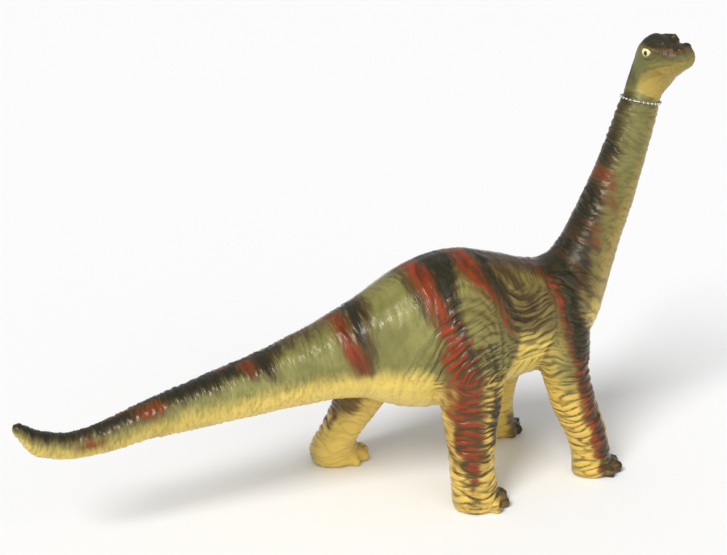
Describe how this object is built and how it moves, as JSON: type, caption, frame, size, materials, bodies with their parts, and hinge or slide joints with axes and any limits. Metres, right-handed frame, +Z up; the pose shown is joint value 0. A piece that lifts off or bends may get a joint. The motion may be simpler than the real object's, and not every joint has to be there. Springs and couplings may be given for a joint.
{
  "type": "toy sauropod dinosaur",
  "caption": "Soft vinyl toy long-necked dinosaur in mid stride, with wrinkled airbrushed skin, its head turned to its right and a metal ball chain round its neck",
  "frame": {"origin": "bottom centre of the whole toy's box, on the floor between its soles", "axes": "+X the way the toy faces, +Y to its left, +Z up"},
  "size_m": [0.5366, 0.1568, 0.3441],
  "materials": {
    "painted_vinyl": "semi-gloss airbrushed soft vinyl, olive flanks, dark green back, ochre belly, brick-red stripes",
    "painted_vinyl_tan": "the same vinyl where it is airbrushed tan and ochre, with brick-red and dark green streaks",
    "eye_paint": "glossy hand-painted cream eye with a black pupil",
    "ball_chain_metal": "bright plated steel"
  },
  "bodies": {
    "root": {"tail_tip": "painted_vinyl", "tail_middle": "painted_vinyl", "tail_root": "painted_vinyl", "torso": "painted_vinyl", "neck_lower": "painted_vinyl", "neck_upper": "painted_vinyl", "head": "painted_vinyl", "leg_hind_right": "painted_vinyl_tan", "leg_hind_left": "painted_vinyl_tan", "leg_fore_right": "painted_vinyl_tan", "leg_fore_left": "painted_vinyl_tan", "eye_right": "eye_paint", "eye_left": "eye_paint", "bead_chain": "ball_chain_metal", "chain_clasp": "ball_chain_metal"}
  },
  "joints": []
}
